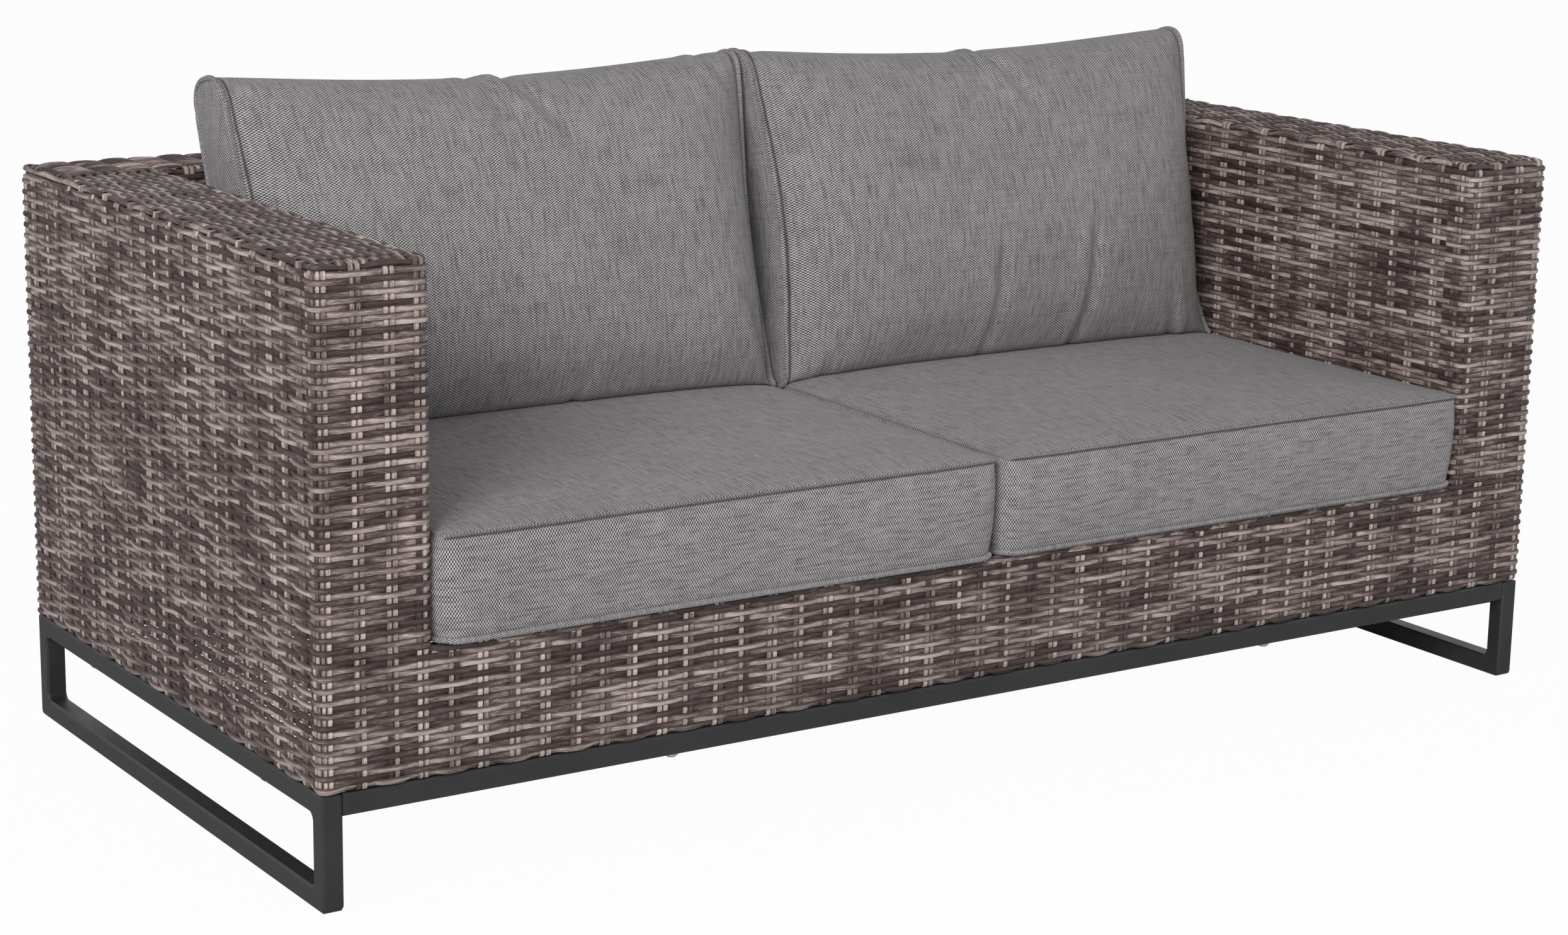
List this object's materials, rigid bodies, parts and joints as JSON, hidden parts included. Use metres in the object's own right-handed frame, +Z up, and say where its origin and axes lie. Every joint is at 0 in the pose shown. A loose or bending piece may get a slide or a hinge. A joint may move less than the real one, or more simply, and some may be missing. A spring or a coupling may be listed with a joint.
{
  "type": "rattan garden sofa",
  "caption": "Low garden sofa: woven rattan arms, back and front apron on a square-tube sled base, with loose boxed seat cushions and leaning back cushions.",
  "frame": {"origin": "centre of the floor area under the sofa, at floor level", "axes": "+X to the right when facing the sofa, -Y out of the front of the seat, +Z up"},
  "size_m": [1.7, 0.8, 0.8],
  "materials": {
    "powder_coat": "satin anthracite powder coat on welded square steel tube",
    "bolt_steel": "zinc-plated button-head bolts",
    "frame_metal": "grey powder-coated aluminium tube, hidden by the weave",
    "rattan": "half-round synthetic rattan strands, mottled taupe and brown-grey, slight sheen",
    "cushion_cloth": "woven grey melange outdoor cloth",
    "cushion_filling": "off-white foam and polyester fibre",
    "zip_tape": "dark coil zip on woven tape"
  },
  "bodies": {
    "sofa_body": {"left_sled_leg": "powder_coat", "right_sled_leg": "powder_coat", "front_base_rail": "powder_coat", "rear_base_rail": "powder_coat", "base_cross_rail_1": "powder_coat", "base_cross_rail_2": "powder_coat", "base_bolt_front_left": "bolt_steel", "base_bolt_front_right": "bolt_steel", "base_bolt_rear_left": "bolt_steel", "base_bolt_rear_right": "bolt_steel", "base_bolt_left_front": "bolt_steel", "base_bolt_left_rear": "bolt_steel", "base_bolt_right_front": "bolt_steel", "base_bolt_right_rear": "bolt_steel", "left_side_frame": "frame_metal", "right_side_frame": "frame_metal", "front_apron_frame": "frame_metal", "rear_frame": "frame_metal", "left_arm_inner_frame": "frame_metal", "right_arm_inner_frame": "frame_metal", "back_inner_frame": "frame_metal", "seat_bearer_1": "frame_metal", "seat_bearer_2": "frame_metal", "seat_bearer_3": "frame_metal", "seat_bearer_4": "frame_metal", "seat_bearer_5": "frame_metal", "left_arm_spacer_front": "frame_metal", "left_arm_spacer_rear": "frame_metal", "right_arm_spacer_front": "frame_metal", "right_arm_spacer_rear": "frame_metal", "back_spacer_1": "frame_metal", "back_spacer_2": "frame_metal", "back_spacer_3": "frame_metal", "front_apron_weave": "rattan", "rear_weave": "rattan", "left_side_weave": "rattan", "right_side_weave": "rattan", "left_arm_front_weave": "rattan", "right_arm_front_weave": "rattan", "left_arm_inner_weave": "rattan", "right_arm_inner_weave": "rattan", "back_inner_weave": "rattan", "seat_deck_weave": "rattan", "left_arm_top_weave": "rattan", "right_arm_top_weave": "rattan", "back_top_weave": "rattan"},
    "left_seat_cushion": {"left_seat_cushion_cover": "cushion_cloth", "left_seat_cushion_foam": "cushion_filling", "left_seat_cushion_zip": "zip_tape"},
    "left_back_cushion": {"left_back_cushion_cover": "cushion_cloth", "left_back_cushion_fill": "cushion_filling", "left_back_cushion_zip": "zip_tape"},
    "right_seat_cushion": {"right_seat_cushion_cover": "cushion_cloth", "right_seat_cushion_foam": "cushion_filling", "right_seat_cushion_zip": "zip_tape"},
    "right_back_cushion": {"right_back_cushion_cover": "cushion_cloth", "right_back_cushion_fill": "cushion_filling", "right_back_cushion_zip": "zip_tape"}
  },
  "joints": [
    {"name": "left_seat_cushion_slide", "type": "slide", "parent": "sofa_body", "child": "left_seat_cushion", "axis": [0, -1, 0], "range_m": [0, 0.75]},
    {"name": "right_seat_cushion_slide", "type": "slide", "parent": "sofa_body", "child": "right_seat_cushion", "axis": [0, -1, 0], "range_m": [0, 0.75]},
    {"name": "left_back_cushion_lift", "type": "slide", "parent": "left_seat_cushion", "child": "left_back_cushion", "axis": [0, 0, 1], "range_m": [0, 0.45]},
    {"name": "right_back_cushion_lift", "type": "slide", "parent": "right_seat_cushion", "child": "right_back_cushion", "axis": [0, 0, 1], "range_m": [0, 0.45]}
  ]
}
